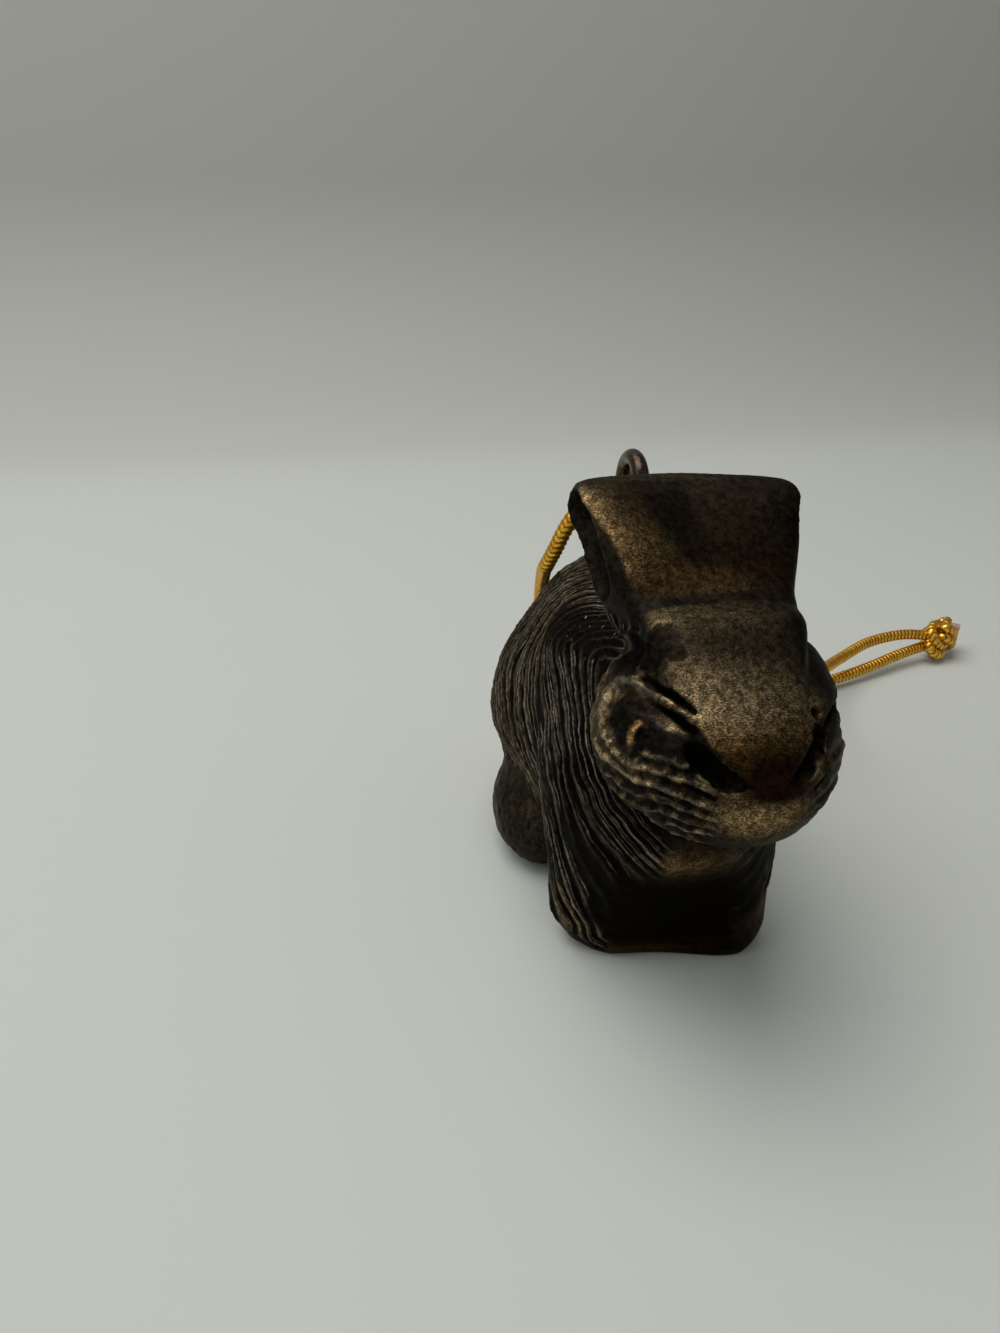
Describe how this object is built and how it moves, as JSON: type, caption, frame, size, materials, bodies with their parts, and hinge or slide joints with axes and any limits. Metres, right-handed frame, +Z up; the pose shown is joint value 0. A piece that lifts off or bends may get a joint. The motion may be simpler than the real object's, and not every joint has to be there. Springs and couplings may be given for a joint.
{
  "type": "rabbit bell ornament",
  "caption": "Small hollow cast metal rabbit bell that stands on its feet, with a loose pellet inside, a wire eye on the back and a knotted cord to hang it by.",
  "frame": {"origin": "on the plane that the feet stand on, under the middle of the rabbit without its cord", "axes": "+Z up, the rabbit faces -Y with its right side at -X, and X = 0 is its plane of symmetry"},
  "size_m": [0.102, 0.0945, 0.0552],
  "materials": {
    "bronze": "dark patina, brassy on the worn ridges",
    "dark_wire": "dark patina, satin",
    "pellet_brass": "dull cast",
    "gold_braid": "ribbed metallic braid"
  },
  "bodies": {
    "bell": {"rabbit_casting": "bronze", "hanger_eye": "dark_wire", "hanging_cord": "gold_braid", "cord_knot": "gold_braid"},
    "pellet": {"bell_pellet": "pellet_brass"}
  },
  "joints": [
    {"name": "pellet_roll", "type": "hinge", "parent": "bell", "child": "pellet", "pos_m": [0, 0.00515, 0.0226], "axis": [1, 0, 0], "range_deg": [-90, 90]}
  ]
}
